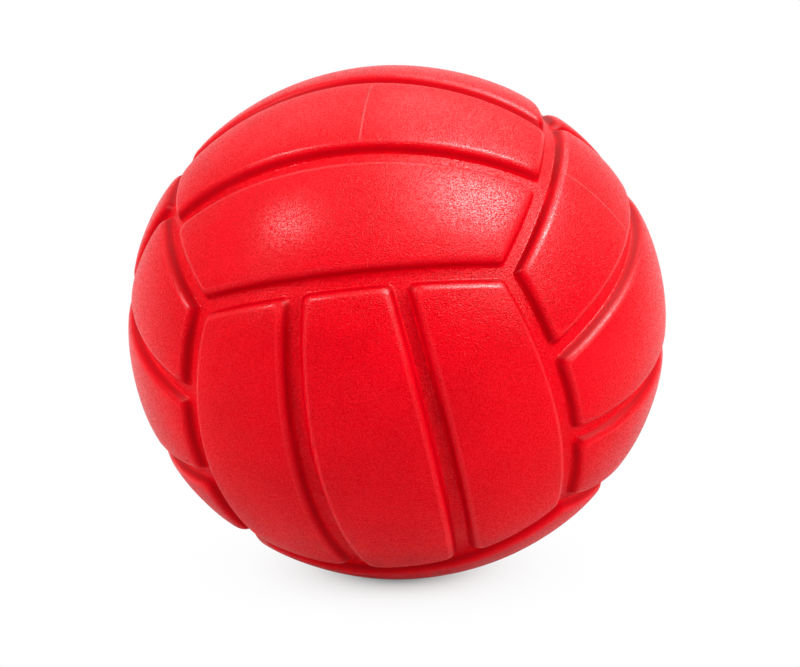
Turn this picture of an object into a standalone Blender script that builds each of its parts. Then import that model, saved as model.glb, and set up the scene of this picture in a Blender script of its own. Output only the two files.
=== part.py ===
"""Squeaky ball: a hollow soft vinyl ball with raised volleyball panels and a whistle pressed into its wall.

Metres, +Z up. The origin is the middle of the ball, whose shortest diameter stands upright, as it lies on a
floor. The panels are drawn on a box around the ball, three to a face, and the box is turned by LIE.
"""

import math

import bmesh
import bpy
from mathutils import Euler, Matrix, Vector

# Ball
BALL_WIDTH = 0.1000          # level diameter, over the panels
BALL_HEIGHT = 0.0950         # upright diameter: the soft moulding is out of round
FLOOR_WALL = 0.0019          # vinyl left under a channel's floor
LIE = Euler([math.radians(angle) for angle in (15.9, -9.4, -7.9)], "XYZ")

# Panels and channels, measured along the ball's surface
PATTERN_HEIGHT = 0.93        # of the box that the panels are drawn on, for a width of 1
MIDDLE_STRIP = 0.0267        # from one channel's middle to the next, across a middle panel
CHANNEL_WIDTH = 0.0034       # between the top edges of two panels
CHANNEL_FLOOR = 0.0022
CHANNEL_DEPTH = 0.0023
EDGE_BEVEL = 0.0006          # at the top edge of a panel
CORNER_RADIUS = 0.0012       # of a panel's outline

# Whistle plug
FLANGE_DIAMETER = 0.0120
FLANGE_THICKNESS = 0.0010
FLANGE_SINK = 0.0005         # of its face below the ball's surface
FLANGE_EDGE = 0.0003         # chamfer round the face
NECK_DIAMETER = 0.0084
BEAD_DIAMETER = 0.0104
BEAD_LAND = 0.0006           # straight part of the bead
BEAD_TAPER = 0.0016          # tapered lead-in behind it
TUBE_DIAMETER = 0.0074
TUBE_END_COVER = 0.0010      # tube past the reed holder
BORE_DIAMETER = 0.0056
FACE_WALL = 0.0012           # plastic in front of the bore
AIR_HOLE = 0.0026
SEAT_CUT = 0.0003            # flat seat for the bead, cut into the inner wall

# Reed and its holder
REED_LENGTH = 0.0080
REED_WIDTH = 0.0034
REED_THICKNESS = 0.0002
REED_TIP_RADIUS = 0.0010
ROOT_LENGTH = 0.0018         # of the reed, clamped between trough and wedge
TROUGH_OVERHANG = 0.0008     # past the reed's tip
GROOVE_WIDTH = 0.0020
GROOVE_DEPTH = 0.0012
TIP_LAND = 0.0012            # from the groove's closed end to the reed's tip

# Clearances
SEAT_GAP = 0.0003            # vinyl to plastic
FIT_GAP = 0.0002             # between the whistle's own pieces

# Facets
STRIP_STEPS = 4              # across a panel, which is three times as many long
CORNER_STEPS = 2
INNER_STEPS = 9              # across a sixth of the inner wall
ROUND_STEPS = 40             # round the plug
TIP_STEPS = 4
SHARP_ANGLE = math.radians(35)   # steeper edges are shaded sharp

AXES = [Vector((1, 0, 0)), Vector((0, 1, 0)), Vector((0, 0, 1))]
BOX = [AXES[0], AXES[1], AXES[2] * PATTERN_HEIGHT]   # half edges of the box
WHISTLE_WAY = BOX[1]         # the middle of the back face
RADIUS = BALL_WIDTH / 2
INNER_RADIUS = RADIUS - CHANNEL_DEPTH - FLOOR_WALL
LIE_AND_SHORTEN = Matrix.Scale(BALL_HEIGHT / BALL_WIDTH, 4, AXES[2]) @ LIE.to_matrix().to_4x4()


def surface_angle(length):
    """Angle at the ball's middle of a length on its surface."""
    return length / RADIUS


TOP_ANGLE = surface_angle(CHANNEL_WIDTH / 2)
FLOOR_ANGLE = surface_angle(CHANNEL_FLOOR / 2)
BEVEL_ANGLE = surface_angle(EDGE_BEVEL)
CORNER_ANGLE = TOP_ANGLE + surface_angle(CORNER_RADIUS)   # how far in a corner's centre lies


def edge_slopes(index):
    """Slopes along an edge at which a face's panels end, even in angle between the ends of its channels."""
    normal, along, across = [BOX[(index + turn) % 3] for turn in range(3)]
    divider = math.tan(surface_angle(MIDDLE_STRIP / 2)) * normal.length / across.length
    reach = (normal + along).length / across.length
    stops = [math.atan(slope / reach) for slope in (-1, -divider, divider, 1)]
    angles = [stops[0]]
    for low, high in zip(stops, stops[1:]):
        angles += [low + (high - low) * step / STRIP_STEPS for step in range(1, STRIP_STEPS + 1)]
    return [reach * math.tan(angle) for angle in angles]


SLOPES = [edge_slopes(index) for index in range(3)]


def box_faces():
    """The six faces: slopes along their panels and across, outward normal, direction along and across."""
    for index, normal in enumerate(BOX):
        along = BOX[(index + 1) % 3]
        across = BOX[(index + 2) % 3]
        slopes = SLOPES[(index + 2) % 3], SLOPES[index]
        yield slopes, normal, along, across
        yield slopes, -normal, along, -across


def dual(axis):
    """The vector along a half edge of the box whose product with it is 1."""
    return axis / axis.length_squared


def sweep_round(axis, start, angles):
    """Points on the unit ball, turned from start round an axis."""
    middle = axis * start.dot(axis)
    spoke = start - middle
    side = axis.cross(spoke)
    return [middle + spoke * math.cos(angle) + side * math.sin(angle) for angle in angles]


def sweep_angle(axis, start, end):
    """Angle from start to end round an axis."""
    middle = axis * start.dot(axis)
    return (start - middle).angle(end - middle)


class Cell:
    """One panel with its half of the channels around it, between four planes through the ball's middle."""

    def __init__(self, slopes, normal, along, across, strip):
        long_slopes = slopes[0]
        short_slopes = slopes[1][strip * STRIP_STEPS:(strip + 1) * STRIP_STEPS + 1]
        low, high = short_slopes[0], short_slopes[-1]
        planes = (
            dual(across) - low * dual(normal),
            dual(normal) - dual(along),
            high * dual(normal) - dual(across),
            dual(normal) + dual(along),
        )
        self.planes = [plane.normalized() for plane in planes]
        sides = (
            [normal + along * slope + across * low for slope in long_slopes],
            [normal + along + across * slope for slope in short_slopes],
            [normal + along * slope + across * high for slope in reversed(long_slopes)],
            [normal - along + across * slope for slope in reversed(short_slopes)],
        )
        self.border = [[point.normalized() for point in side] for side in sides]
        self.centres = [self.corner(side) for side in range(4)]

    def corner(self, side):
        """The point as far from one side as from the next, from which the corner between them is rounded."""
        first, second = self.planes[side], self.planes[(side + 1) % 4]
        foot = (first + second) * math.sin(CORNER_ANGLE) / (1 + first.dot(second))
        ridge = first.cross(second).normalized()
        return foot + ridge * math.sqrt(1 - foot.length_squared)

    def run(self, side, start, end):
        """Points from start to end at a constant inset from one side, spaced as the border is."""
        plane, border = self.planes[side], self.border[side]
        whole = sweep_angle(plane, start, end)
        length = border[0].angle(border[-1])
        return sweep_round(plane, start, [whole * border[0].angle(point) / length for point in border])

    def outline(self, inset):
        """Ring of points at an inset from the border, with its corners rounded."""
        bend = CORNER_ANGLE - inset

        def foot(corner, side):
            centre, plane = self.centres[corner], self.planes[side]
            outward = (plane - centre * plane.dot(centre)).normalized()
            return centre * math.cos(bend) - outward * math.sin(bend)

        ring = []
        for side in range(4):
            after = (side + 1) % 4
            start, end = foot(side, side), foot(side, after)
            ring += self.run(side, foot(side - 1, side), start)
            turn = sweep_angle(self.centres[side], start, end)
            ring += sweep_round(self.centres[side], start, [turn * step / CORNER_STEPS for step in
                                                            range(1, CORNER_STEPS)])
        return ring

    def field(self):
        """Rows of points over the panel, inside the square outline that its corners are rounded from."""
        sides = [self.run(side, self.centres[side - 1], self.centres[side]) for side in range(4)]
        low, right, high, left = sides[0], sides[1], sides[2][::-1], sides[3][::-1]
        rows = []
        for row in range(len(left)):
            up = row / (len(left) - 1)
            points = []
            for column in range(len(low)):
                over = column / (len(low) - 1)
                edges = low[column].lerp(high[column], up) + left[row].lerp(right[row], over)
                corners = low[0].lerp(low[-1], over).lerp(high[0].lerp(high[-1], over), up)
                points.append((edges - corners).normalized())
            rows.append(points)
        return rows


def square_ring(sides):
    """Ring of points round four sides, with each corner repeated as often as a rounded one has points."""
    return [point for side in sides for point in side + [side[-1]] * (CORNER_STEPS - 1)]


def add_grid(mesh, rows):
    """Quads over rows of points."""
    verts = [[mesh.verts.new(point) for point in row] for row in rows]
    for low, high in zip(verts, verts[1:]):
        for index in range(len(low) - 1):
            mesh.faces.new((low[index], low[index + 1], high[index + 1], high[index]))


def add_rings(mesh, rings):
    """Quads between closed rings of points, each inside the one before."""
    loops = [[mesh.verts.new(point) for point in ring] for ring in rings]
    for outer, inner in zip(loops, loops[1:]):
        for index in range(len(outer)):
            after = (index + 1) % len(outer)
            mesh.faces.new((outer[index], outer[after], inner[after], inner[index]))


def add_panel(mesh, cell):
    """Channel floor, wall, bevelled edge and top of one panel."""
    rows = cell.field()
    edge = [rows[0], [row[-1] for row in rows], rows[-1][::-1], [row[0] for row in rows][::-1]]
    floor = RADIUS - CHANNEL_DEPTH
    rings = (
        (square_ring(cell.border), floor),
        (cell.outline(FLOOR_ANGLE), floor),
        (cell.outline(TOP_ANGLE), RADIUS - EDGE_BEVEL),
        (cell.outline(TOP_ANGLE + BEVEL_ANGLE), RADIUS),
        (square_ring(edge), RADIUS),
    )
    add_rings(mesh, [[point * height for point in ring] for ring, height in rings])
    add_grid(mesh, [[point * RADIUS for point in row] for row in rows])


def add_inner_wall(mesh):
    """The smooth wall of the air chamber, facing the ball's middle."""
    slopes = [math.tan(math.pi / 4 * (2 * step / INNER_STEPS - 1)) for step in range(INNER_STEPS + 1)]
    for _, normal, along, across in box_faces():
        rows = [[(normal - along * slope + across * rise).normalized() * INNER_RADIUS for slope in slopes]
                for rise in slopes]
        add_grid(mesh, rows)


def weld(mesh):
    """Joins points that lie in one place."""
    bmesh.ops.remove_doubles(mesh, verts=mesh.verts, dist=0.000001)


def add_turned(mesh, profile):
    """Solid turned round Z from a closed outline of (radius, height) points; radius 0 lies on the axis."""
    verts = [mesh.verts.new((radius, 0, height)) for radius, height in profile]
    edges = [mesh.edges.new((verts[index - 1], verts[index])) for index in range(len(verts))]
    bmesh.ops.spin(mesh, geom=verts + edges, axis=AXES[2], cent=(0, 0, 0), angle=2 * math.pi,
                   steps=ROUND_STEPS)
    weld(mesh)
    bmesh.ops.recalc_face_normals(mesh, faces=mesh.faces)


def add_prism(mesh, outline, low, high):
    """Solid drawn up from a flat outline of (x, y) points, between two heights."""
    bottom = mesh.faces.new([mesh.verts.new((x, y, low)) for x, y in outline])
    drawn = bmesh.ops.extrude_face_region(mesh, geom=[bottom])
    moved = [part for part in drawn["geom"] if isinstance(part, bmesh.types.BMVert)]
    bmesh.ops.translate(mesh, verts=moved, vec=(0, 0, high - low))
    bmesh.ops.recalc_face_normals(mesh, faces=mesh.faces)


def make_object(mesh, name, material=None, parent=None):
    """Named object from a finished mesh, shaded smooth."""
    data = bpy.data.meshes.new(name)
    mesh.to_mesh(data)
    mesh.free()
    if material:
        data.materials.append(material)
    data.shade_smooth()
    data.set_sharp_from_angle(angle=SHARP_ANGLE)
    piece = bpy.data.objects.new(name, data)
    piece.parent = parent
    bpy.context.collection.objects.link(piece)
    return piece


def cut(piece, cutter):
    """Takes a cutter's shape out of a piece, and hides the cutter."""
    cutter.hide_render = True
    cutter.display_type = "WIRE"
    modifier = piece.modifiers.new(cutter.name, "BOOLEAN")
    modifier.operation = "DIFFERENCE"
    modifier.solver = "EXACT"
    modifier.object = cutter


def make_material(name, colour, roughness):
    material = bpy.data.materials.new(name)
    material.use_nodes = True
    shader = material.node_tree.nodes["Principled BSDF"]
    shader.inputs["Base Color"].default_value = (*colour, 1)
    shader.inputs["Roughness"].default_value = roughness
    shader.inputs["Metallic"].default_value = 0
    return material


# Whistle, in its own frame: +Z out of the ball along the whistle, 0 at the ball's surface

SURFACE_POINT = LIE_AND_SHORTEN @ (WHISTLE_WAY * RADIUS)
WALL_HERE = SURFACE_POINT.length * (1 - INNER_RADIUS / RADIUS)
FACE_Z = -FLANGE_SINK
FLANGE_BACK_Z = FACE_Z - FLANGE_THICKNESS
BEAD_SEAT_Z = SEAT_CUT - WALL_HERE
BEAD_Z = BEAD_SEAT_Z - SEAT_GAP
BORE_END_Z = FACE_Z - FACE_WALL
HOLDER_Z = BORE_END_Z - FIT_GAP
HINGE_Z = HOLDER_Z - ROOT_LENGTH
REED_TIP_Z = HOLDER_Z - REED_LENGTH
TROUGH_END_Z = REED_TIP_Z - TROUGH_OVERHANG
TUBE_END_Z = TROUGH_END_Z - TUBE_END_COVER
HOLDER_RADIUS = BORE_DIAMETER / 2 - FIT_GAP
CLAMP_Y = REED_THICKNESS / 2 + FIT_GAP   # from the reed's middle to the wedge's flat and to the trough's


def make_whistle_axis():
    """Empty at the ball's surface, with its Z along the whistle and its X level."""
    outward = SURFACE_POINT.normalized()
    level = AXES[2].cross(outward).normalized()
    turn = Matrix((level, outward.cross(level), outward)).transposed().to_4x4()
    axis = bpy.data.objects.new("whistle_axis", None)
    axis.matrix_world = Matrix.Translation(SURFACE_POINT) @ turn
    bpy.context.collection.objects.link(axis)
    return axis


def make_shell(whistle, material):
    mesh = bmesh.new()
    for face in box_faces():
        for strip in range(3):
            add_panel(mesh, Cell(*face, strip))
    add_inner_wall(mesh)
    weld(mesh)
    mesh.transform(LIE_AND_SHORTEN)
    shell = make_object(mesh, "vinyl_shell", material)
    cut(shell, make_whistle_hole(whistle))
    return shell


def make_whistle_hole(whistle):
    """Stepped hole: a recess for the flange, a throat for the neck and a flat seat for the bead."""
    recess, throat, seat = [diameter / 2 + SEAT_GAP for diameter in
                            (FLANGE_DIAMETER, NECK_DIAMETER, BEAD_DIAMETER)]
    above = FLANGE_DIAMETER
    recess_z = FLANGE_BACK_Z - SEAT_GAP
    below = BEAD_Z - BEAD_DIAMETER
    mesh = bmesh.new()
    add_turned(mesh, [
        (0, above), (recess, above), (recess, recess_z), (throat, recess_z),
        (throat, BEAD_SEAT_Z), (seat, BEAD_SEAT_Z), (seat, below), (0, below),
    ])
    return make_object(mesh, "whistle_hole", parent=whistle)


def make_plug(whistle, material):
    """Flanged cup: air hole in its face, a bead that holds it in the vinyl, a tube for the reed holder."""
    flange, neck, bead, tube = [diameter / 2 for diameter in
                                (FLANGE_DIAMETER, NECK_DIAMETER, BEAD_DIAMETER, TUBE_DIAMETER)]
    hole, bore = AIR_HOLE / 2, BORE_DIAMETER / 2
    mesh = bmesh.new()
    add_turned(mesh, [
        (hole, FACE_Z), (flange - FLANGE_EDGE, FACE_Z), (flange, FACE_Z - FLANGE_EDGE),
        (flange, FLANGE_BACK_Z), (neck, FLANGE_BACK_Z), (neck, BEAD_Z), (bead, BEAD_Z),
        (bead, BEAD_Z - BEAD_LAND), (tube, BEAD_Z - BEAD_LAND - BEAD_TAPER), (tube, TUBE_END_Z),
        (bore, TUBE_END_Z), (bore, BORE_END_Z), (hole, BORE_END_Z),
    ])
    return make_object(mesh, "whistle_plug", material, whistle)


def half_round(upward):
    """Outline of the holder's round section above or below the slit that holds the reed."""
    middle = math.pi / 2 if upward else -math.pi / 2
    reach = math.acos(CLAMP_Y / HOLDER_RADIUS)
    steps = ROUND_STEPS // 2
    angles = [middle - reach + 2 * reach * step / steps for step in range(steps + 1)]
    return [(HOLDER_RADIUS * math.cos(angle), HOLDER_RADIUS * math.sin(angle)) for angle in angles]


def make_trough(whistle, material):
    """Lower half of the reed holder, with an air groove that is open towards the air hole."""
    mesh = bmesh.new()
    add_prism(mesh, half_round(upward=False), TROUGH_END_Z, HOLDER_Z)
    trough = make_object(mesh, "reed_trough", material, whistle)
    half, floor_y = GROOVE_WIDTH / 2, -CLAMP_Y - GROOVE_DEPTH
    section = [(-half, floor_y), (half, floor_y), (half, 0), (-half, 0)]
    mesh = bmesh.new()
    add_prism(mesh, section, REED_TIP_Z + TIP_LAND, BORE_END_Z)
    cut(trough, make_object(mesh, "air_groove", parent=whistle))
    return trough


def make_wedge(whistle, material):
    """Upper half of the reed holder, which clamps the reed's root and closes the bore above it."""
    mesh = bmesh.new()
    add_prism(mesh, half_round(upward=True), HINGE_Z, HOLDER_Z)
    return make_object(mesh, "reed_wedge", material, whistle)


def make_tongue(whistle, material):
    """Film reed with a rounded tip, its origin on the line where it bends out of the clamp."""
    half, tip = REED_WIDTH / 2, REED_TIP_Z - HINGE_Z
    turns = [math.pi / 2 * step / TIP_STEPS for step in range(TIP_STEPS + 1)]
    corner = [(half - REED_TIP_RADIUS * (1 - math.cos(turn)), tip + REED_TIP_RADIUS * (1 - math.sin(turn)))
              for turn in turns]
    outline = [(half, ROOT_LENGTH)] + corner + [(-x, z) for x, z in reversed(corner)] + [(-half, ROOT_LENGTH)]
    mesh = bmesh.new()
    add_prism(mesh, outline, -REED_THICKNESS / 2, REED_THICKNESS / 2)
    mesh.transform(Matrix.Rotation(math.pi / 2, 4, "X"))
    tongue = make_object(mesh, "reed_tongue", material, whistle)
    tongue.location.z = HINGE_Z
    return tongue


def clear_scene():
    for old in list(bpy.data.objects):
        bpy.data.objects.remove(old, do_unlink=True)


def main():
    clear_scene()
    whistle = make_whistle_axis()
    make_shell(whistle, make_material("red_vinyl", (0.80, 0.01, 0.02), 0.42))
    make_plug(whistle, make_material("white_plug", (0.80, 0.79, 0.76), 0.40))
    make_trough(whistle, make_material("white_holder", (0.74, 0.73, 0.70), 0.45))
    make_wedge(whistle, make_material("grey_wedge", (0.62, 0.62, 0.60), 0.45))
    make_tongue(whistle, make_material("clear_film", (0.70, 0.74, 0.78), 0.20))


main()
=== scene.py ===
"""Squeaky ball, dressed: the moulded vinyl shell, the whistle plug in its back and the reed in the plug.

Metres, +Z up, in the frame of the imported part: the origin is the middle of the ball. The panels are drawn
on a box around the ball, three strips to a face, and the box is turned by LIE.
"""

import math

import bmesh
import bpy
from mathutils import Euler, Matrix, Vector, noise


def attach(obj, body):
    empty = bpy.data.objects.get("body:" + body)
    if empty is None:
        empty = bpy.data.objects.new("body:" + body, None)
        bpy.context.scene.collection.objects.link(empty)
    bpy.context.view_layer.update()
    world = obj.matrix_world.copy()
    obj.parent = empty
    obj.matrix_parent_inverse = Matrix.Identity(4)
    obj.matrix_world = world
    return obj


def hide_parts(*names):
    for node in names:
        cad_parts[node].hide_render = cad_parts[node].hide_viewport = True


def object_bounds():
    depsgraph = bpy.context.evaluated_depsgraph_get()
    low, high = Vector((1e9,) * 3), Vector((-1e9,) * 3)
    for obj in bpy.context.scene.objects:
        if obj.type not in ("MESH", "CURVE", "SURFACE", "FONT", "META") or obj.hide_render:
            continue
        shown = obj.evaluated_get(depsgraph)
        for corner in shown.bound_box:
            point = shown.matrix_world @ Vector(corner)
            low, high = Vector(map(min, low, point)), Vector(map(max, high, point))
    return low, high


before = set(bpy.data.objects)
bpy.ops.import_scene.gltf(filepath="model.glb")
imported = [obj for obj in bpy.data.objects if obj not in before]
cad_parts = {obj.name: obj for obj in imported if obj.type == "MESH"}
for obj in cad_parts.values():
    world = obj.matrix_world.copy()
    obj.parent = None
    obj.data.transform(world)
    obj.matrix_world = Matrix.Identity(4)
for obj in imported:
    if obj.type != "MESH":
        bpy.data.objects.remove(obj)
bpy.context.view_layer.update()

# Ball
BALL_WIDTH = 0.1000
BALL_HEIGHT = 0.0950
FLOOR_WALL = 0.0019          # vinyl left under a channel's floor
LIE = Euler([math.radians(angle) for angle in (15.9, -9.4, -7.9)], "XYZ")

# Panels and channels, measured along the ball's surface
PATTERN_HEIGHT = 0.93        # of the box that the panels are drawn on, for a width of 1
MIDDLE_STRIP = 0.0267        # from one channel's middle to the next, across a middle panel
CHANNEL_WIDTH = 0.0049       # between the top edges of two panels
CHANNEL_FLOOR = 0.0023
CHANNEL_DEPTH = 0.0023
FLOOR_FILLET = 0.0003
EDGE_ROUND = 0.0018          # at the top edge of a panel
CORNER_RADIUS = 0.0014       # of a panel's outline
LEFT_CUTS = (1.44, 2.31)     # cross channels of the upper left strip, in thirds of it from its front end
RIGHT_CUTS = (2.38,)         # of the upper right strip
CROWN_DROP = 0.00020         # of a panel's top towards its edges
CROWN_REACH = 0.0060         # in from the edge
WAVE_HEIGHT = 0.00012        # slight unevenness of the soft moulding
WAVE_LENGTH = 0.0180

# Vinyl
GRAIN_SIZE = 0.00025
GRAIN_DEPTH = 0.00020
CLOUD_SIZE = 0.0150          # of its changes of tone
DEEP_RED = (0.73, 0.0, 0.006, 1)
LIGHT_RED = (0.87, 0.0, 0.009, 1)
# painted shade: a darker red laid on the channels' walls, where the grooves fall in shade
PAINTED_SHADE_RED = (0.24, 0.0, 0.003, 1)
# painted highlight: a paler red along the panels' rounded top edges, where they catch light
RIM_HIGHLIGHT_RED = (0.95, 0.02, 0.03, 1)
# the mould lines are real ridges in the bump; their paler red is a painted highlight along them
LINE_HIGHLIGHT_RED = (0.95, 0.12, 0.12, 1)
CLOUD_TONE = 0.4             # share of the clouds in the change from deep to light red
GRAIN_TONE = 0.5             # share of the grain in it
TONE_SPAN = (0.05, 0.35)     # of their sum, from deep to light red
WALL_SHADE_TINT = 0.5              # how far each of these tints goes at most: painted shade on the walls, painted highlights on the rims and lines
RIM_HIGHLIGHT_TINT = 0.35
LINE_HIGHLIGHT_TINT = 0.7
GLINT_SPAN = (-0.13, 0.14)   # of the grain's height, from no sheen to full sheen
GLINT_COAT = 0.85            # weight of the coat that gives the sheen
EDGE_COAT = 0.3
LINE_WIDTH = 0.0006          # of the mould's lines
LINE_FADE = (0.45, 0.55)     # from a line's middle, in shares of its length
LINE_ENDS = (                # on the ball's surface
    (Vector((-0.0046, -0.0038, 0.0472)), Vector((-0.0069, -0.0221, 0.0421))),
    (Vector((0.0305, -0.0163, 0.0343)), Vector((0.0424, -0.0132, 0.0219))),
)

# Zones of the vinyl's relief, which is 0 on a channel's floor and 1 on a panel: where each rises and falls
# where the painted shade on the channels' walls rises and falls
WALL_ZONE = ((0, 0.4), (0.4, 0.95))
EDGE_ZONE = ((0.6, 0.85), (0.97, 1))
# where the painted highlight along the panels' top edges lies
RIM_HIGHLIGHT_ZONE = ((0.88, 0.96), (0.98, 1))
LINE_ZONE = (0.8, 1)         # only rises
GRAIN_LOSS = (0, 0.6)        # of the way into the wall zone, from full grain to none
GLINT_LOSS = (0, 0.3)        # from full sheen to none

# Whistle plug
FLANGE_DIAMETER = 0.0120
FLANGE_THICKNESS = 0.0010
FLANGE_SINK = 0.0005         # of its face below the ball's surface
FLANGE_EDGE = 0.0003
NECK_DIAMETER = 0.0084
BEAD_DIAMETER = 0.0104
BEAD_LAND = 0.0006
BEAD_TAPER = 0.0016
TUBE_DIAMETER = 0.0074
TUBE_END_COVER = 0.0010
BORE_DIAMETER = 0.0056
FACE_WALL = 0.0012
AIR_HOLE = 0.0026
SEAT_CUT = 0.0003
SEAT_GAP = 0.0003            # vinyl to plastic
FIT_GAP = 0.0002             # between the whistle's own pieces
LIP_ROUND = 0.0004           # of the vinyl round the flange
REED_LENGTH = 0.0080
TROUGH_OVERHANG = 0.0008

# Plastics of the whistle, with their dark tone, light tone and roughness
PLUG_WHITE = ((0.76, 0.75, 0.72), (0.82, 0.81, 0.78), 0.38)
HOLDER_WHITE = ((0.71, 0.70, 0.67), (0.77, 0.76, 0.73), 0.42)
WEDGE_GREY = ((0.58, 0.58, 0.56), (0.65, 0.65, 0.63), 0.42)
REED_FILM = ((0.66, 0.70, 0.74), (0.74, 0.78, 0.82), 0.15)
PLASTIC_CLOUD = 0.0020       # size of the changes of tone
PLASTIC_GRAIN = 0.00015
PLASTIC_GRAIN_DEPTH = 0.00002

# Facets
STRIP_STEPS = 16             # across a panel, which is three times as many long
CORNER_STEPS = 6
ARC_STEP = math.radians(7)
INNER_STEPS = 28             # across a sixth of the inner wall
HOLE_BLOCK = 7               # half the cells across the block that the whistle's hole takes
HOLE_RINGS = 5               # from that block to the hole's lip
ROUND_STEPS = 96
FLOOR_STEPS = 64
SHARP_ANGLE = math.radians(35)
WELD_REACH = 0.000001        # points nearer than this are one

# Photograph
PHOTO_WIDTH = 800
PHOTO_HEIGHT = 667
BALL_PIXELS = 538.6          # level diameter in the photograph
BALL_CENTRE = (396.9, 322.0)
CAMERA_RISE = math.radians(17)
CAMERA_DISTANCE = 4.0
SENSOR_WIDTH = 36.0          # millimetres, as Blender counts lenses

# Studio
FLOOR_RADIUS = 10.0
FLOOR_TONE = 0.66
# Painted shadow: the floor glows white but round the resting spot, where the card's real shading shows,
# fading with distance
SHADOW_CORE = 0.0075         # round the spot that the ball rests on
SHADOW_FALL = 0.0065         # over which the shadow thins to a third
SHADE_REACH = 0.150          # of the painted shadow that shiny things reflect
FLOOR_SPAN = (-0.08, 0.08)   # from the dark room to the sweep, along Y on the floor
AMBIENT = 0.80               # of the white sweep behind the ball
SWEEP_SPAN = (-0.1, 0.7)     # from the dark room to the sweep, along Y on a ball of directions

AXES = [Vector((1, 0, 0)), Vector((0, 1, 0)), Vector((0, 0, 1))]
BOX = [AXES[0], AXES[1], AXES[2] * PATTERN_HEIGHT]   # half edges of the box
WHISTLE_WAY = BOX[1]         # the middle of the back face
RADIUS = BALL_WIDTH / 2
INNER_RADIUS = RADIUS - CHANNEL_DEPTH - FLOOR_WALL
SHORTEN = Matrix.Scale(BALL_HEIGHT / BALL_WIDTH, 4, AXES[2])
LIE_AND_SHORTEN = SHORTEN @ LIE.to_matrix().to_4x4()
LENGTHEN = SHORTEN.inverted()


def surface_angle(length):
    """Angle at the ball's middle of a length on its surface."""
    return length / RADIUS


CORNER_ANGLE = surface_angle(CORNER_RADIUS)


# Outlines

def rounded(corners):
    """Points of an outline whose corners are (x, y, rounding); a rounding of 0 is a plain point."""
    points = []
    for index, (x, y, radius) in enumerate(corners):
        corner = Vector((x, y))
        if not radius:
            points.append(corner)
            continue
        before = (Vector(corners[index - 1][:2]) - corner).normalized()
        after = (Vector(corners[(index + 1) % len(corners)][:2]) - corner).normalized()
        half = before.angle(after) / 2
        centre = corner + (before + after).normalized() * radius / math.sin(half)
        spoke = corner + before * radius / math.tan(half) - centre
        turn = math.copysign(math.pi - 2 * half, after.cross(before))
        steps = max(2, round(abs(turn) / ARC_STEP))
        points += [centre + Matrix.Rotation(turn * step / steps, 2) @ spoke for step in range(steps + 1)]
    return points


# From a channel's middle to a panel's top: distance along the surface, height over the panels' ball
CHANNEL_PROFILE = rounded([
    (0, -CHANNEL_DEPTH, 0),
    (CHANNEL_FLOOR / 2, -CHANNEL_DEPTH, FLOOR_FILLET),
    (CHANNEL_WIDTH / 2, 0, EDGE_ROUND),
    (CHANNEL_WIDTH, 0, 0),
])[:-1]
TOP_ANGLE = surface_angle(CHANNEL_PROFILE[-1].x)   # how far in a panel's level top starts


def edge_slopes(index):
    """Slopes along an edge at which a face's panels end, even in angle between the ends of its channels."""
    normal, along, across = [BOX[(index + turn) % 3] for turn in range(3)]
    divider = math.tan(surface_angle(MIDDLE_STRIP / 2)) * normal.length / across.length
    reach = (normal + along).length / across.length
    stops = [math.atan(slope / reach) for slope in (-1, -divider, divider, 1)]
    angles = [stops[0]]
    for low, high in zip(stops, stops[1:]):
        angles += [low + (high - low) * step / STRIP_STEPS for step in range(1, STRIP_STEPS + 1)]
    return [reach * math.tan(angle) for angle in angles]


SLOPES = [edge_slopes(index) for index in range(3)]


def box_faces():
    """The six faces: slopes along their panels and across, outward normal, direction along and across."""
    for index, normal in enumerate(BOX):
        along = BOX[(index + 1) % 3]
        across = BOX[(index + 2) % 3]
        slopes = SLOPES[(index + 2) % 3], SLOPES[index]
        yield slopes, normal, along, across
        yield slopes, -normal, along, -across


def dual(axis):
    """The vector along a half edge of the box whose product with it is 1."""
    return axis / axis.length_squared


def sweep_round(axis, start, angles):
    """Points on the unit ball, turned from start round an axis."""
    middle = axis * start.dot(axis)
    spoke = start - middle
    side = axis.cross(spoke)
    return [middle + spoke * math.cos(angle) + side * math.sin(angle) for angle in angles]


def sweep_angle(axis, start, end):
    """Angle from start to end round an axis."""
    middle = axis * start.dot(axis)
    return (start - middle).angle(end - middle)


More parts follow.
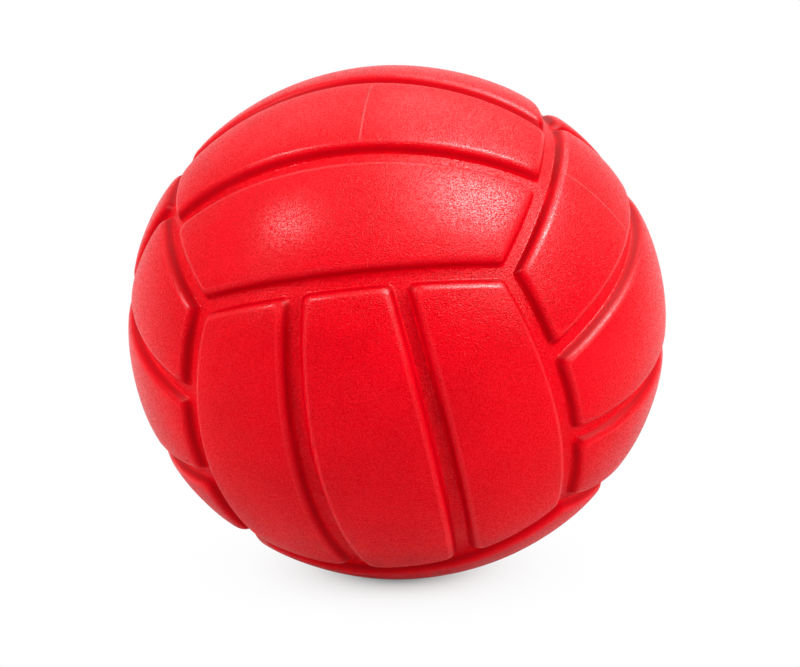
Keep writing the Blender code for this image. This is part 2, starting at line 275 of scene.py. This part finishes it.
class Panel:
    """A raised panel with its half of the channels round it, cut by planes through the ball's middle."""

    def __init__(self, slopes, normal, along, across, strip, start, end):
        long_slopes = slopes[0][start:end + 1]
        short_slopes = slopes[1][strip * STRIP_STEPS:(strip + 1) * STRIP_STEPS + 1]
        near, far = long_slopes[0], long_slopes[-1]
        low, high = short_slopes[0], short_slopes[-1]
        planes = (
            dual(across) - low * dual(normal),
            far * dual(normal) - dual(along),
            high * dual(normal) - dual(across),
            dual(along) - near * dual(normal),
        )
        self.planes = [plane.normalized() for plane in planes]
        sides = (
            [normal + along * slope + across * low for slope in long_slopes],
            [normal + along * far + across * slope for slope in short_slopes],
            [normal + along * slope + across * high for slope in reversed(long_slopes)],
            [normal + along * near + across * slope for slope in reversed(short_slopes)],
        )
        self.border = [[point.normalized() for point in side] for side in sides]

    def corner(self, side, inset):
        """The point at the same inset from one side and from the next."""
        first, second = self.planes[side], self.planes[(side + 1) % 4]
        foot = (first + second) * math.sin(inset) / (1 + first.dot(second))
        ridge = first.cross(second).normalized()
        return foot + ridge * math.sqrt(1 - foot.length_squared)

    def run(self, side, start, end):
        """Points from start to end at a constant inset from one side, spaced as the border's points are."""
        plane, border = self.planes[side], self.border[side]
        whole = sweep_angle(plane, start, end)
        length = border[0].angle(border[-1])
        return sweep_round(plane, start, [whole * border[0].angle(point) / length for point in border])

    def outline(self, inset):
        """Ring of points at an inset from the border, with its corners rounded."""
        centres = [self.corner(side, inset + CORNER_ANGLE) for side in range(4)]

        def foot(corner, side):
            centre, plane = centres[corner], self.planes[side]
            outward = (plane - centre * plane.dot(centre)).normalized()
            return centre * math.cos(CORNER_ANGLE) - outward * math.sin(CORNER_ANGLE)

        ring = []
        for side in range(4):
            after = (side + 1) % 4
            start, end = foot(side, side), foot(side, after)
            ring += self.run(side, foot(side - 1, side), start)
            turn = sweep_angle(centres[side], start, end)
            turns = [turn * step / CORNER_STEPS for step in range(1, CORNER_STEPS)]
            ring += sweep_round(centres[side], start, turns)
        return ring

    def field(self):
        """Rows of points over the panel's top, between the middles of its outline's rounded corners."""
        corners = [self.corner(side, TOP_ANGLE + CORNER_ANGLE) for side in range(4)]
        sides = [self.run(side, corners[side - 1], corners[side]) for side in range(4)]
        low, right, high, left = sides[0], sides[1], sides[2][::-1], sides[3][::-1]
        rows = []
        for row in range(len(left)):
            up = row / (len(left) - 1)
            points = []
            for column in range(len(low)):
                over = column / (len(low) - 1)
                edges = low[column].lerp(high[column], up) + left[row].lerp(right[row], over)
                middle = low[0].lerp(low[-1], over).lerp(high[0].lerp(high[-1], over), up)
                points.append((edges - middle).normalized())
            rows.append(points)
        return rows

    def droop(self, way):
        """How far the crowned top lies below the ball's surface, which is more towards the edges."""
        insets = [math.asin(way.dot(plane)) * RADIUS - CHANNEL_WIDTH / 2 for plane in self.planes]
        shares = [max(0, 1 - max(0, inset) / CROWN_REACH) for inset in insets]
        return CROWN_DROP * sum(share * share for share in shares)


# Meshes

def new_mesh():
    """Empty mesh whose points carry the shell's relief: 0 on a channel's floor, 1 on a panel."""
    mesh = bmesh.new()
    mesh.verts.layers.float.new("relief")
    return mesh


def add_points(mesh, points, relief):
    """New points of a mesh, all with the same relief."""
    layer = mesh.verts.layers.float["relief"]
    verts = [mesh.verts.new(point) for point in points]
    for vert in verts:
        vert[layer] = relief
    return verts


def add_grid(mesh, rows, relief, open_block=0):
    """Quads over rows of points, but for a square block of cells in the middle."""
    verts = [add_points(mesh, row, relief) for row in rows]
    middle_row, middle_column = len(rows) // 2, len(rows[0]) // 2
    for row in range(len(rows) - 1):
        for column in range(len(rows[0]) - 1):
            rise, run = row - middle_row, column - middle_column
            if -open_block <= rise < open_block and -open_block <= run < open_block:
                continue
            low, high = verts[row], verts[row + 1]
            mesh.faces.new((low[column], low[column + 1], high[column + 1], high[column]))


def block_ring(rows, half):
    """Points round the square block of cells in the middle of a grid."""
    low, high = len(rows) // 2 - half, len(rows) // 2 + half
    left, right = len(rows[0]) // 2 - half, len(rows[0]) // 2 + half
    return (rows[low][left:right] + [row[right] for row in rows[low:high]]
            + rows[high][right:left:-1] + [row[left] for row in rows[high:low:-1]])


def add_rings(mesh, rings, reliefs):
    """Quads between closed rings of points, each inside the one before."""
    loops = [add_points(mesh, ring, relief) for ring, relief in zip(rings, reliefs)]
    for outer, inner in zip(loops, loops[1:]):
        for index in range(len(outer)):
            after = (index + 1) % len(outer)
            mesh.faces.new((outer[index], outer[after], inner[after], inner[index]))


def weld(mesh):
    """Joins points that lie in one place and drops what that leaves flat."""
    bmesh.ops.remove_doubles(mesh, verts=mesh.verts, dist=WELD_REACH)


def make_piece(mesh, name, finish):
    """Named object from a finished mesh, shaded smooth."""
    data = bpy.data.meshes.new(name)
    mesh.to_mesh(data)
    mesh.free()
    data.materials.append(finish)
    data.shade_smooth()
    data.set_sharp_from_angle(angle=SHARP_ANGLE)
    piece = bpy.data.objects.new(name, data)
    bpy.context.collection.objects.link(piece)
    return piece


# Shell

def fade(value, low, high):
    """0 below low, 1 above high, smooth between."""
    share = min(1, max(0, (value - low) / (high - low)))
    return share * share * (3 - 2 * share)


def on_ball(way, radius):
    """A point of the shell's outside, in a direction on the box, with the moulding's slight waves."""
    away = fade((way - WHISTLE_WAY).length * RADIUS, FLANGE_DIAMETER, 2 * FLANGE_DIAMETER)
    swell = WAVE_HEIGHT * noise.noise(way * RADIUS / WAVE_LENGTH) * away
    return LIE_AND_SHORTEN @ (way * (radius + swell))


def square_ring(sides):
    """Ring of points round four sides, with each corner repeated as often as a rounded one has points."""
    return [point for side in sides for point in side + [side[-1]] * (CORNER_STEPS - 1)]


def add_panel(mesh, panel):
    """Channel floor, wall, rounded edge and crowned top of one panel; gives the rows of its top."""
    rows = panel.field()
    edge = [rows[0], [row[-1] for row in rows], rows[-1][::-1], [row[0] for row in rows][::-1]]
    outlines = [square_ring(panel.border)]
    outlines += [panel.outline(surface_angle(inset)) for inset, _ in CHANNEL_PROFILE[1:]]
    outlines.append(square_ring(edge))
    heights = [height for _, height in CHANNEL_PROFILE] + [0]
    reliefs = [1 + height / CHANNEL_DEPTH for height in heights]

    def settle(way, height, relief):
        return on_ball(way, RADIUS + height - relief * panel.droop(way))

    rings = [[settle(way, height, relief) for way in outline]
             for outline, height, relief in zip(outlines, heights, reliefs)]
    add_rings(mesh, rings, reliefs)
    return [[settle(way, 0, 1) for way in row] for row in rows]


# Whistle, in its own frame: +Z out of the ball along the whistle, 0 at the ball's surface
SURFACE_POINT = LIE_AND_SHORTEN @ (WHISTLE_WAY * RADIUS)
WALL_HERE = SURFACE_POINT.length * (1 - INNER_RADIUS / RADIUS)
FACE_Z = -FLANGE_SINK
FLANGE_BACK_Z = FACE_Z - FLANGE_THICKNESS
BEAD_SEAT_Z = SEAT_CUT - WALL_HERE
BEAD_Z = BEAD_SEAT_Z - SEAT_GAP
BORE_END_Z = FACE_Z - FACE_WALL
TUBE_END_Z = BORE_END_Z - FIT_GAP - REED_LENGTH - TROUGH_OVERHANG - TUBE_END_COVER


def whistle_frame():
    """Placement at the ball's surface, with its Z along the whistle and its X level."""
    outward = SURFACE_POINT.normalized()
    level = AXES[2].cross(outward).normalized()
    turn = Matrix((level, outward.cross(level), outward)).transposed().to_4x4()
    return Matrix.Translation(SURFACE_POINT) @ turn


WHISTLE = whistle_frame()


def on_wall(point, radius):
    """A point pushed along its own radius to the ball of that radius."""
    return point * radius / (LENGTHEN @ point).length


def along_whistle(point, radius):
    """A point slid along the whistle's axis to the ball of that radius."""
    start = LENGTHEN @ point
    way = LENGTHEN.to_3x3() @ WHISTLE.col[2].to_3d()
    half = start.dot(way) / way.length_squared
    reach = half * half - (start.length_squared - radius * radius) / way.length_squared
    return point + WHISTLE.col[2].to_3d() * (math.sqrt(reach) - half)


def add_whistle_hole(mesh, block, inner_block):
    """Stepped hole from a block of the panel to one of the inner wall: lip, recess, throat, bead's seat."""
    recess, throat, seat = [diameter / 2 + SEAT_GAP for diameter in
                            (FLANGE_DIAMETER, NECK_DIAMETER, BEAD_DIAMETER)]
    places = [WHISTLE.inverted() @ point for point in block]
    spokes = [Vector((place.x, place.y, 0)).normalized() for place in places]

    def ring_at(radius, height):
        return [WHISTLE @ (spoke * radius + AXES[2] * height) for spoke in spokes]

    mouth = [along_whistle(point, RADIUS) for point in ring_at(recess + LIP_ROUND, 0)]
    rings = [[on_wall(start.lerp(end, share / HOLE_RINGS), RADIUS) for start, end in zip(block, mouth)]
             for share in range(HOLE_RINGS)]
    rings[0] = block
    lip_steps = round(math.pi / 2 / ARC_STEP)
    for step in range(lip_steps + 1):
        turn = math.pi / 2 * step / lip_steps
        inward = LIP_ROUND * math.sin(turn)
        sink = LIP_ROUND * (1 - math.cos(turn))
        rings.append([point - WHISTLE.to_3x3() @ (spoke * inward + AXES[2] * sink)
                      for point, spoke in zip(mouth, spokes)])
    recess_z = FLANGE_BACK_Z - SEAT_GAP
    rings += [ring_at(recess, recess_z), ring_at(throat, recess_z), ring_at(throat, BEAD_SEAT_Z),
              ring_at(seat, BEAD_SEAT_Z)]
    way_in = [along_whistle(point, INNER_RADIUS) for point in ring_at(seat, 0)]
    rings += [[on_wall(start.lerp(end, share / HOLE_RINGS), INNER_RADIUS) for start, end in
               zip(way_in, inner_block)] for share in range(HOLE_RINGS)]
    rings.append(inner_block)
    add_rings(mesh, rings, [1] * len(rings))


def inner_wall_rows(normal, along, across):
    """Rows of points over a sixth of the inner wall, which faces the ball's middle."""
    slopes = [math.tan(math.pi / 4 * (2 * step / INNER_STEPS - 1)) for step in range(INNER_STEPS + 1)]
    return [[LIE_AND_SHORTEN @ ((normal - along * slope + across * rise).normalized() * INNER_RADIUS)
             for slope in slopes] for rise in slopes]


def strip_stops(normal, strip):
    """Steps along a face's strip at which its panels end: most strips are one panel."""
    cuts = ()
    if (normal, strip) == (AXES[0], 2):
        cuts = RIGHT_CUTS
    if (normal, strip) == (-AXES[0], 0):
        cuts = LEFT_CUTS
    return [round(cut * STRIP_STEPS) for cut in (0, *cuts, 3)]


def make_shell(finish):
    """Hollow ball: panels and channels outside, a smooth wall inside, the whistle's hole in the back."""
    mesh = new_mesh()
    for face in box_faces():
        inner_rows = inner_wall_rows(*face[1:])
        holed = face[1] == WHISTLE_WAY
        add_grid(mesh, inner_rows, 0, HOLE_BLOCK if holed else 0)
        for strip in range(3):
            stops = strip_stops(face[1], strip)
            for start, end in zip(stops, stops[1:]):
                rows = add_panel(mesh, Panel(*face, strip, start, end))
                if holed and strip == 1:
                    add_grid(mesh, rows, 1, HOLE_BLOCK)
                    inner_block = block_ring([row[::-1] for row in inner_rows], HOLE_BLOCK)
                    add_whistle_hole(mesh, block_ring(rows, HOLE_BLOCK), inner_block)
                else:
                    add_grid(mesh, rows, 1)
    weld(mesh)
    shell = make_piece(mesh, "ball_shell", finish)
    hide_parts("vinyl_shell")
    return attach(shell, "ball")


# Whistle plug

def add_turned(mesh, outline):
    """Solid turned round Z from a closed outline of (radius, height) points."""
    turns = [2 * math.pi * step / ROUND_STEPS for step in range(ROUND_STEPS)]
    rings = [[Vector((radius * math.cos(turn), radius * math.sin(turn), height)) for turn in turns]
             for radius, height in outline]
    add_rings(mesh, rings + rings[:1], [1] * (len(rings) + 1))
    weld(mesh)
    bmesh.ops.recalc_face_normals(mesh, faces=mesh.faces)


def make_plug(finish):
    """Flanged cup: air hole in its face, a bead that holds it in the vinyl, a tube for the reed holder."""
    flange, neck, bead, tube = [diameter / 2 for diameter in
                                (FLANGE_DIAMETER, NECK_DIAMETER, BEAD_DIAMETER, TUBE_DIAMETER)]
    hole, bore = AIR_HOLE / 2, BORE_DIAMETER / 2
    mesh = new_mesh()
    add_turned(mesh, rounded([
        (hole, FACE_Z, FLANGE_EDGE),
        (flange, FACE_Z, FLANGE_EDGE),
        (flange, FLANGE_BACK_Z, 0),
        (neck, FLANGE_BACK_Z, 0),
        (neck, BEAD_Z, 0),
        (bead, BEAD_Z, 0),
        (bead, BEAD_Z - BEAD_LAND, 0),
        (tube, BEAD_Z - BEAD_LAND - BEAD_TAPER, 0),
        (tube, TUBE_END_Z, 0),
        (bore, TUBE_END_Z, 0),
        (bore, BORE_END_Z, 0),
        (hole, BORE_END_Z, 0),
    ]))
    mesh.transform(WHISTLE)
    plug = make_piece(mesh, "whistle_cup", finish)
    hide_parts("whistle_plug")
    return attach(plug, "ball")


# Finishes

class Field:
    """A shader socket that takes part in arithmetic; each operation adds a Math node."""

    def __init__(self, finish, socket):
        self.finish = finish
        self.socket = socket

    def math(self, operation, first, second):
        """Adds a Math node and gives its result."""
        return self.finish.node("ShaderNodeMath", {"operation": operation}, {0: first, 1: second})

    def __add__(self, other):
        return self.math("ADD", self, other)

    def __radd__(self, other):
        return self.math("ADD", other, self)

    def __sub__(self, other):
        return self.math("SUBTRACT", self, other)

    def __rsub__(self, other):
        return self.math("SUBTRACT", other, self)

    def __mul__(self, other):
        return self.math("MULTIPLY", self, other)

    def __rmul__(self, other):
        return self.math("MULTIPLY", other, self)

    def __abs__(self):
        return self.math("ABSOLUTE", self, 0)


class Finish:
    """The nodes of one material or world."""

    def __init__(self, owner):
        owner.use_nodes = True
        self.tree = owner.node_tree
        self.tree.nodes.clear()

    def node(self, kind, settings=None, sockets=None, output=0):
        """Adds a node, sets it, fills or links its sockets, and gives one of its outputs."""
        node = self.tree.nodes.new(kind)
        for name, value in (settings or {}).items():
            setattr(node, name, value)
        for key, value in (sockets or {}).items():
            if isinstance(value, Field):
                self.tree.links.new(value.socket, node.inputs[key])
            else:
                node.inputs[key].default_value = value
        return Field(self, node.outputs[output]) if node.outputs else None

    def noise(self, place, size, detail=2.0):
        """Cloudy values from 0 to 1, of a size in metres."""
        return self.node("ShaderNodeTexNoise", {}, {"Vector": place, "Scale": 1 / size, "Detail": detail})

    def between(self, value, low, high):
        """0 where a value is below low, 1 above high, smooth between."""
        return self.node("ShaderNodeMapRange", {"interpolation_type": "SMOOTHSTEP"},
                         {"Value": value, "From Min": low, "From Max": high})

    def zone(self, value, rise, fall):
        """1 where a value is past its rise and short of its fall, 0 elsewhere, smooth across both spans."""
        return self.between(value, *rise) * (1 - self.between(value, *fall))

    def line(self, place, first, second, width):
        """1 on the line from one point of the ball's surface to another, 0 beside it."""
        middle, length = (first + second) / 2, (second - first).length
        aside = self.node("ShaderNodeVectorMath", {"operation": "DOT_PRODUCT"},
                          {0: place, 1: first.cross(second).normalized()}, "Value")
        away = self.node("ShaderNodeVectorMath", {"operation": "DISTANCE"}, {0: place, 1: middle}, "Value")
        near = 1 - self.between(abs(aside), 0, width / 2)
        return near * (1 - self.between(away, *[share * length for share in LINE_FADE]))

    def blend(self, share, first, second):
        """Colour from first to second."""
        return self.node("ShaderNodeMix", {"data_type": "RGBA"}, {0: share, 6: first, 7: second}, 2)

    def ray_kinds(self):
        """Light Path's marks of rays from the camera, of reflected ones and of ones through glass."""
        return [self.node("ShaderNodeLightPath", output=kind) for kind in
                ("Is Camera Ray", "Is Glossy Ray", "Is Transmission Ray")]


def new_finish(name):
    """A material and the finish that fills it."""
    material = bpy.data.materials.new(name)
    return material, Finish(material)


def vinyl_finish():
    """Satin red vinyl: leather grain off the channels' walls, slight changes of tone, two mould lines,
    painted shade and highlights.
    """
    material, finish = new_finish("red_vinyl")
    place = finish.node("ShaderNodeTexCoord", output="Object")
    relief = finish.node("ShaderNodeAttribute", {"attribute_name": "relief"}, output="Fac")
    wall = finish.zone(relief, *WALL_ZONE)
    rim_highlight = finish.zone(relief, *RIM_HIGHLIGHT_ZONE)
    edge = finish.zone(relief, *EDGE_ZONE)
    cloud = finish.noise(place, CLOUD_SIZE)
    grain = (finish.noise(place, GRAIN_SIZE, 0.0) - 0.5) * (1 - finish.between(wall, *GRAIN_LOSS))
    tone = finish.between(CLOUD_TONE * cloud + GRAIN_TONE * grain, *TONE_SPAN)
    glint = finish.between(grain, *GLINT_SPAN) * (1 - finish.between(wall, *GLINT_LOSS))
    lines = [finish.line(place, *ends, LINE_WIDTH) for ends in LINE_ENDS]
    line = (lines[0] + lines[1]) * finish.between(relief, *LINE_ZONE)
    bump = finish.node("ShaderNodeBump", {}, {
        "Strength": 1.0,
        "Distance": GRAIN_DEPTH,
        "Height": grain + line,
    })
    # painted shade: the channels' walls are blended towards a darker red
    red = finish.blend(WALL_SHADE_TINT * wall, finish.blend(tone, DEEP_RED, LIGHT_RED), PAINTED_SHADE_RED)
    # painted highlight: the panels' rounded top edges are blended towards a paler red
    shaded_and_highlighted = finish.blend(RIM_HIGHLIGHT_TINT * rim_highlight, red, RIM_HIGHLIGHT_RED)
    shader = finish.node("ShaderNodeBsdfPrincipled", {}, {
        # painted highlight on the mould lines, which are also raised in the bump
        "Base Color": finish.blend(LINE_HIGHLIGHT_TINT * line, shaded_and_highlighted, LINE_HIGHLIGHT_RED),
        "Roughness": 0.30 + 0.10 * cloud,
        "Specular IOR Level": 0.03,
        "Coat Weight": GLINT_COAT * glint + EDGE_COAT * edge,
        "Coat Roughness": 0.29,
        "Coat IOR": 1.2,
        "Normal": bump,
    })
    finish.node("ShaderNodeOutputMaterial", {}, {"Surface": shader})
    return material


def plastic_finish(name, dark, light, roughness):
    """Moulded plastic with faint clouds of tone and a fine matt texture."""
    material, finish = new_finish(name)
    place = finish.node("ShaderNodeTexCoord", output="Object")
    cloud = finish.noise(place, PLASTIC_CLOUD)
    bump = finish.node("ShaderNodeBump", {}, {
        "Strength": 0.3,
        "Distance": PLASTIC_GRAIN_DEPTH,
        "Height": finish.noise(place, PLASTIC_GRAIN, 1.0),
    })
    shader = finish.node("ShaderNodeBsdfPrincipled", {}, {
        "Base Color": finish.blend(cloud, (*dark, 1), (*light, 1)),
        "Roughness": roughness + 0.1 * cloud,
        "Normal": bump,
    })
    finish.node("ShaderNodeOutputMaterial", {}, {"Surface": shader})
    return material


def floor_finish():
    """Pale card that shows as plain white, but for a painted fade round the spot that the ball rests on,
    where its shadow shows.
    """
    material, finish = new_finish("pale_floor")
    place = finish.node("ShaderNodeTexCoord", output="Object")
    away = finish.node("ShaderNodeVectorMath", {"operation": "LENGTH"}, {0: place}, "Value")
    behind = finish.node("ShaderNodeSeparateXYZ", {}, {0: place}, "Y")
    direct, glossy, through = finish.ray_kinds()
    shadow = finish.node("ShaderNodeMath", {"operation": "EXPONENT", "use_clamp": True},
                         {0: (SHADOW_CORE - away) * (1 / SHADOW_FALL)})
    # painted shadow in reflections: shiny things see the white glow only away from the ball and behind it
    sweep = finish.between(away, 0, SHADE_REACH) * finish.between(behind, *FLOOR_SPAN)
    white = (1 - shadow) * direct + sweep * (glossy + through)
    card = finish.node("ShaderNodeBsdfDiffuse", {}, {"Color": (FLOOR_TONE, FLOOR_TONE, FLOOR_TONE, 1)})
    glow = finish.node("ShaderNodeEmission", {}, {"Strength": 1.0})
    mixed = finish.node("ShaderNodeMixShader", {}, {0: white, 1: card, 2: glow})
    finish.node("ShaderNodeOutputMaterial", {}, {"Surface": mixed})
    return material


# Studio

def make_floor():
    """Round floor under the lowest point of the ball."""
    mesh = bmesh.new()
    bmesh.ops.create_circle(mesh, cap_ends=True, segments=FLOOR_STEPS, radius=FLOOR_RADIUS)
    data = bpy.data.meshes.new("floor")
    mesh.to_mesh(data)
    mesh.free()
    data.materials.append(floor_finish())
    floor = bpy.data.objects.new("floor", data)
    floor.location.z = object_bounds()[0].z
    bpy.context.collection.objects.link(floor)


def make_world():
    """White sweep behind the ball and over it, with the dark room in front."""
    world = bpy.data.worlds.new("studio")
    finish = Finish(world)
    way = finish.node("ShaderNodeTexCoord", output="Generated")
    behind = finish.node("ShaderNodeSeparateXYZ", {}, {0: way}, "Y")
    direct, glossy, through = finish.ray_kinds()
    sweep = finish.between(behind, *SWEEP_SPAN) * (AMBIENT + (1 - AMBIENT) * (glossy + through))
    sky = finish.node("ShaderNodeBackground", {}, {"Strength": sweep * (1 - direct) + direct})
    finish.node("ShaderNodeOutputWorld", {}, {"Surface": sky})
    bpy.context.scene.world = world


def make_softbox(name, place, size, power, lights=True, shines=True):
    """Square lamp that faces the ball, and either lights it, shows in its sheen, or both."""
    lamp = bpy.data.lights.new(name, "AREA")
    lamp.size = size
    lamp.energy = power
    softbox = bpy.data.objects.new(name, lamp)
    softbox.location = place
    softbox.visible_diffuse = lights
    softbox.visible_glossy = shines
    softbox.rotation_euler = (-Vector(place)).to_track_quat("-Z", "Y").to_euler()
    bpy.context.collection.objects.link(softbox)


def make_lamps():
    """Softboxes left and right, fills that only light the ball, and lamps that only show in its sheen."""
    make_softbox("right_softbox", (0.62, -0.08, 1.02), 0.42, 3.2)
    make_softbox("left_softbox", (-0.77, -0.17, 0.90), 0.22, 6.6)
    make_softbox("front_right_softbox", (0.72, -0.72, 0.72), 0.50, 5.2, shines=False)
    make_softbox("side_right_softbox", (1.03, -0.48, 0.53), 0.50, 8.4, shines=False)
    make_softbox("side_left_softbox", (-1.03, -0.48, 0.53), 0.50, 5.6, shines=False)
    make_softbox("low_left_softbox", (-1.23, 0.00, 0.22), 0.40, 1.2, shines=False)
    make_softbox("right_sheen", (0.60, -0.09, 1.10), 0.60, 61.0, lights=False)
    make_softbox("wide_right_sheen", (0.52, 0.02, 1.14), 1.10, 42.0, lights=False)
    make_softbox("left_sheen", (-0.80, -0.24, 0.97), 0.34, 9.0, lights=False)
    make_softbox("back_sheen", (0.25, 0.75, 1.00), 0.70, 8.0, lights=False)
    make_softbox("back_left_sheen", (-0.45, 0.77, 0.90), 0.60, 2.2, lights=False)
    make_softbox("side_sheen", (0.80, 0.35, 0.92), 0.50, 2.0, lights=False)


def make_camera():
    """Camera in front of the ball, raised, with the ball at its place in the photograph."""
    back = Vector((0, -math.cos(CAMERA_RISE), math.sin(CAMERA_RISE)))
    turn = (-back).to_track_quat("-Z", "Y")
    pixel = BALL_WIDTH / BALL_PIXELS
    right = (PHOTO_WIDTH / 2 - BALL_CENTRE[0]) * pixel
    up = (BALL_CENTRE[1] - PHOTO_HEIGHT / 2) * pixel
    lens = bpy.data.cameras.new("camera")
    lens.sensor_width = SENSOR_WIDTH
    lens.lens = SENSOR_WIDTH * CAMERA_DISTANCE / (PHOTO_WIDTH * pixel)
    camera = bpy.data.objects.new("camera", lens)
    camera.location = back * CAMERA_DISTANCE + turn @ Vector((right, up, 0))
    camera.rotation_euler = turn.to_euler()
    bpy.context.collection.objects.link(camera)
    bpy.context.scene.camera = camera


def dress_node(name, finish):
    """Puts a finish on a solid that is shown as it is."""
    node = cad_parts[name]
    node.data.materials.clear()
    node.data.materials.append(finish)


make_shell(vinyl_finish())
make_plug(plastic_finish("white_plug", *PLUG_WHITE))
dress_node("reed_trough", plastic_finish("white_holder", *HOLDER_WHITE))
dress_node("reed_wedge", plastic_finish("grey_wedge", *WEDGE_GREY))
dress_node("reed_tongue", plastic_finish("reed_film", *REED_FILM))
make_floor()
make_world()
make_lamps()
make_camera()
bpy.context.scene.view_settings.view_transform = "Standard"
